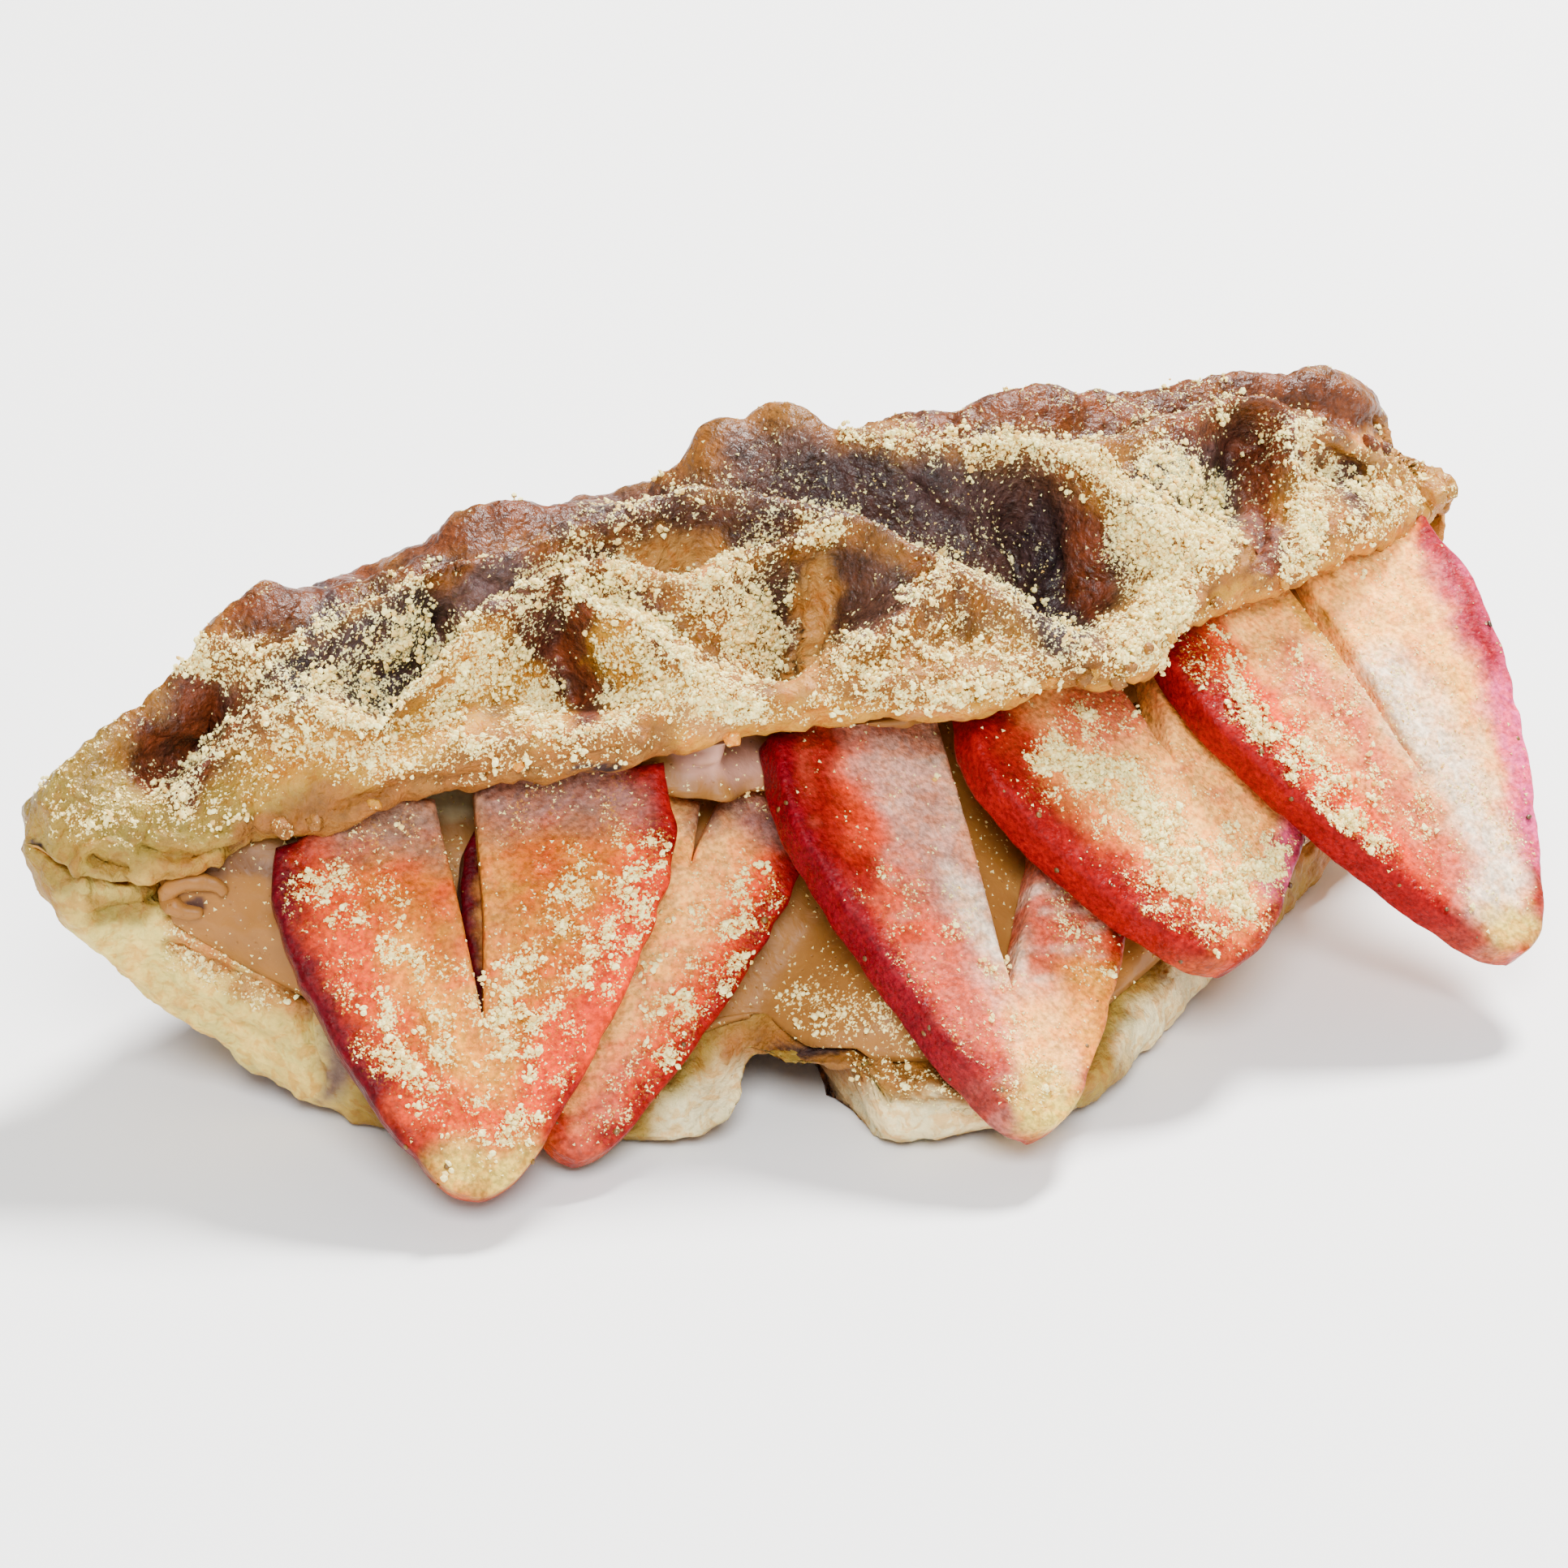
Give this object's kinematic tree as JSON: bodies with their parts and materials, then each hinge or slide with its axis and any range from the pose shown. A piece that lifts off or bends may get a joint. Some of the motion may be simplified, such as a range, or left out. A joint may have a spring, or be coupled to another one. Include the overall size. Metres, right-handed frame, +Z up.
{
  "type": "croffle",
  "caption": "Waffle-pressed croissant slit along one side, filled with cream and a fan of fruit slices.",
  "frame": {"origin": "centre of the bounding box, at the base it rests on", "axes": "+X along the pastry's length toward its wider end, the filled side faces -Y, +Z up"},
  "size_m": [0.135, 0.0688, 0.0483],
  "materials": {
    "crust": "browned, dusted crust",
    "cream": "soft, slightly moist",
    "fruit": "moist, cut face"
  },
  "bodies": {
    "root": {"pastry": "crust", "cream": "cream", "strawberry_1": "fruit", "strawberry_2": "fruit", "strawberry_3": "fruit", "strawberry_4": "fruit", "strawberry_5": "fruit"}
  },
  "joints": []
}
